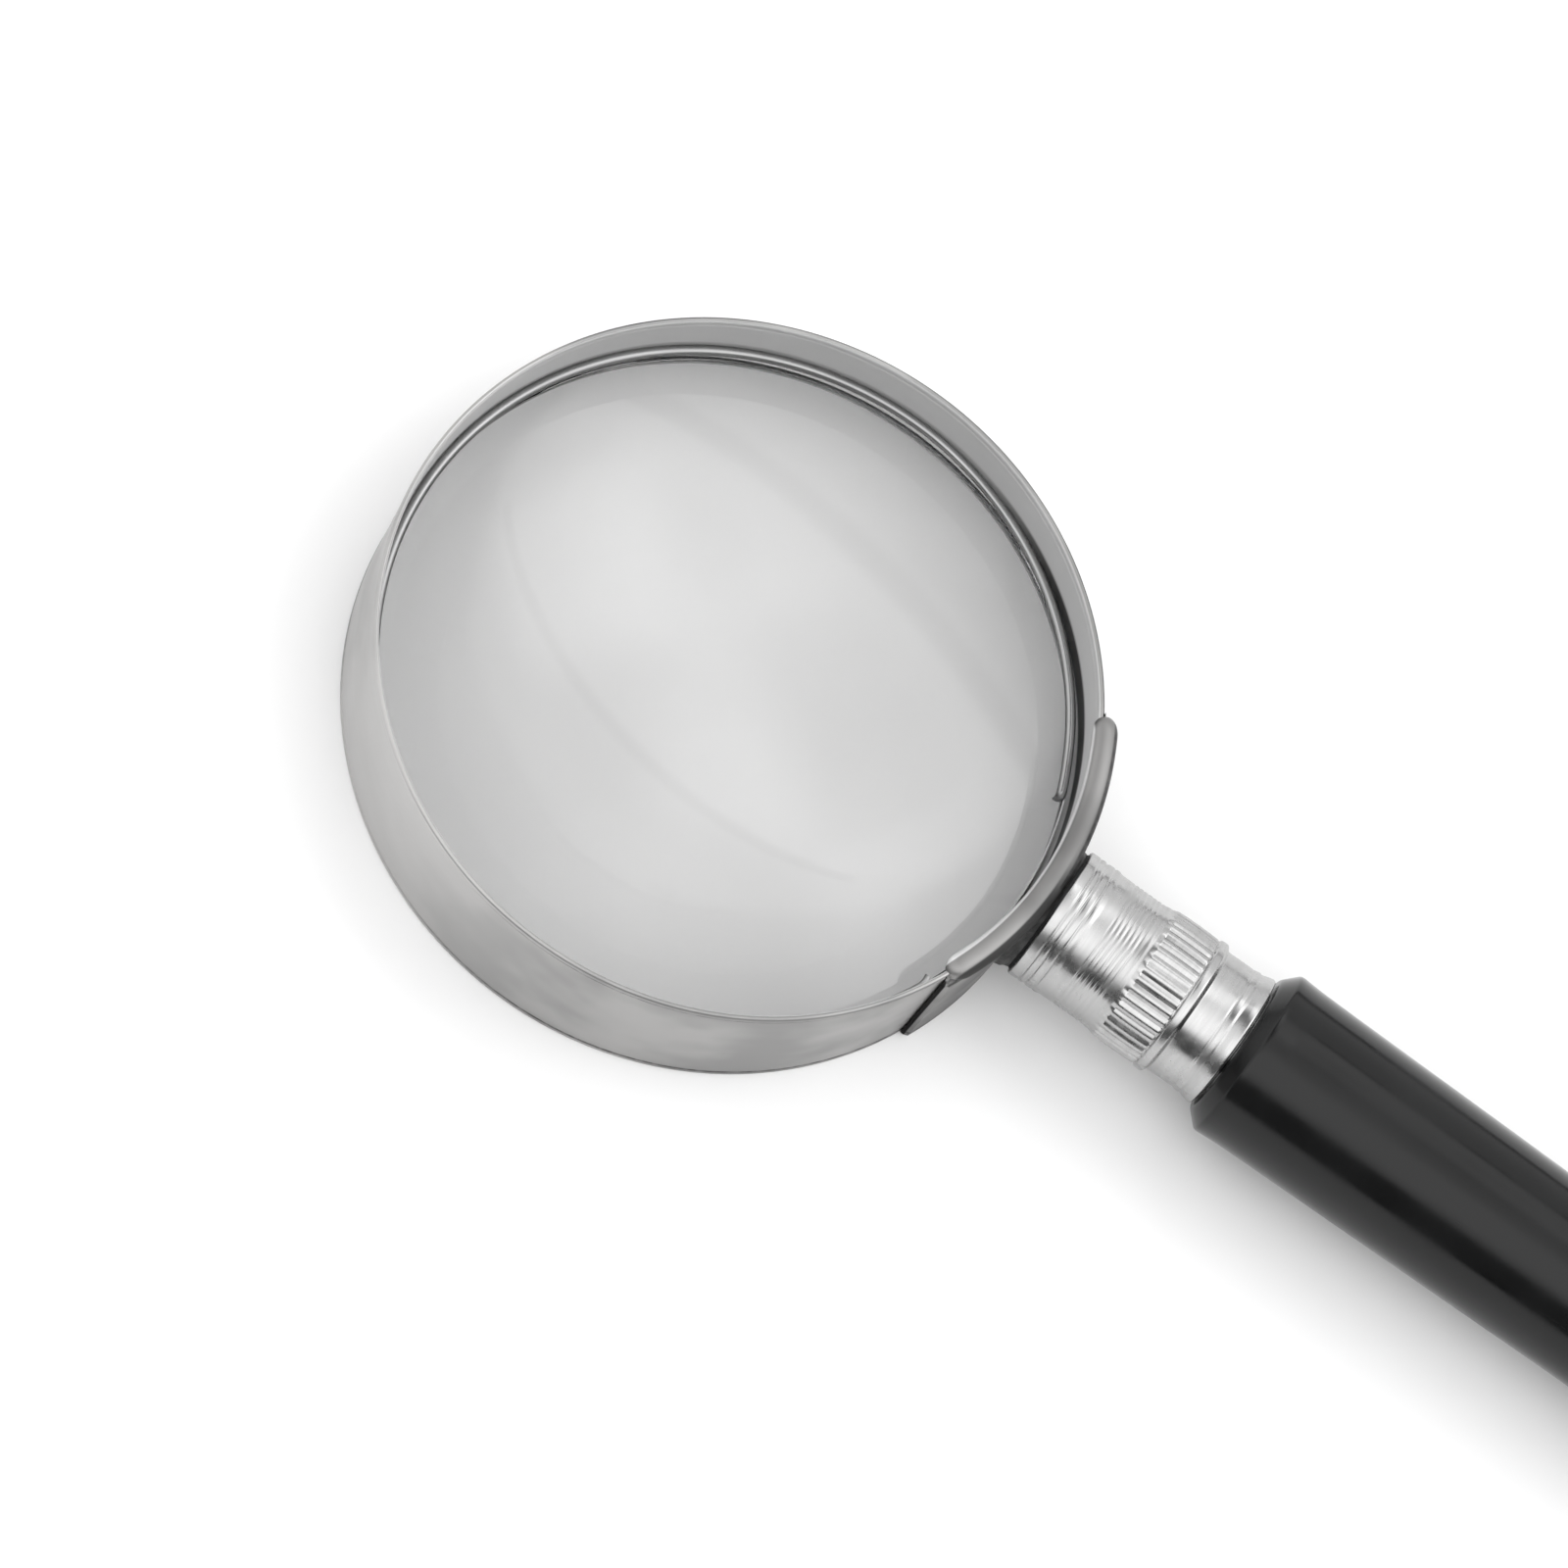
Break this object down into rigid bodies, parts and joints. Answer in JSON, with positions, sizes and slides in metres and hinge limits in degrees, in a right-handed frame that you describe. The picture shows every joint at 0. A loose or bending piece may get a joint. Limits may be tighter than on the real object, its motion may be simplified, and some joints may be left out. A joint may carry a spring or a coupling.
{
  "type": "magnifying glass",
  "caption": "Hand-held magnifying glass: a biconvex glass lens in a deep metal rim, held by a saddle clip on a screw-on black grip with a bright fluted ferrule.",
  "frame": {"origin": "centre of the rim, on the optical axis and at the rim's middle height", "axes": "+Z is the optical axis, out of the front of the lens towards the reader; +X runs from the rim towards the end of the grip"},
  "size_m": [0.1686, 0.062, 0.0169],
  "materials": {
    "lens_glass": "polished optical glass",
    "rim_metal": "satin nickel plate, softly mottled",
    "spring_wire": "drawn spring wire",
    "saddle_metal": "satin nickel plate",
    "stud_steel": "zinc plated, threaded",
    "washer_fibre": "black fibre",
    "ferrule_plate": "bright turned plate",
    "bush_brass": "turned brass",
    "handle_plastic": "glossy black moulding"
  },
  "bodies": {
    "head": {"lens": "lens_glass", "rim_band": "rim_metal", "front_retaining_ring": "spring_wire", "rear_retaining_ring": "spring_wire", "saddle_clip": "saddle_metal", "clamp_stud": "stud_steel"},
    "neck": {"neck_washer": "washer_fibre"},
    "grip": {"ferrule": "ferrule_plate", "threaded_bush": "bush_brass", "handle": "handle_plastic", "end_cap": "handle_plastic"}
  },
  "joints": [
    {"name": "neck_travel", "type": "slide", "parent": "head", "child": "neck", "axis": [1, 0, 0], "range_m": [0, 0.0064]},
    {"name": "handle_turn", "type": "hinge", "parent": "neck", "child": "grip", "pos_m": [0.04, 0, 0.002], "axis": [1, 0, 0], "range_deg": [0, 2880]}
  ],
  "couplings": [
    {"joint": "handle_turn", "follows": "neck_travel", "rad_per_m": 7854}
  ]
}
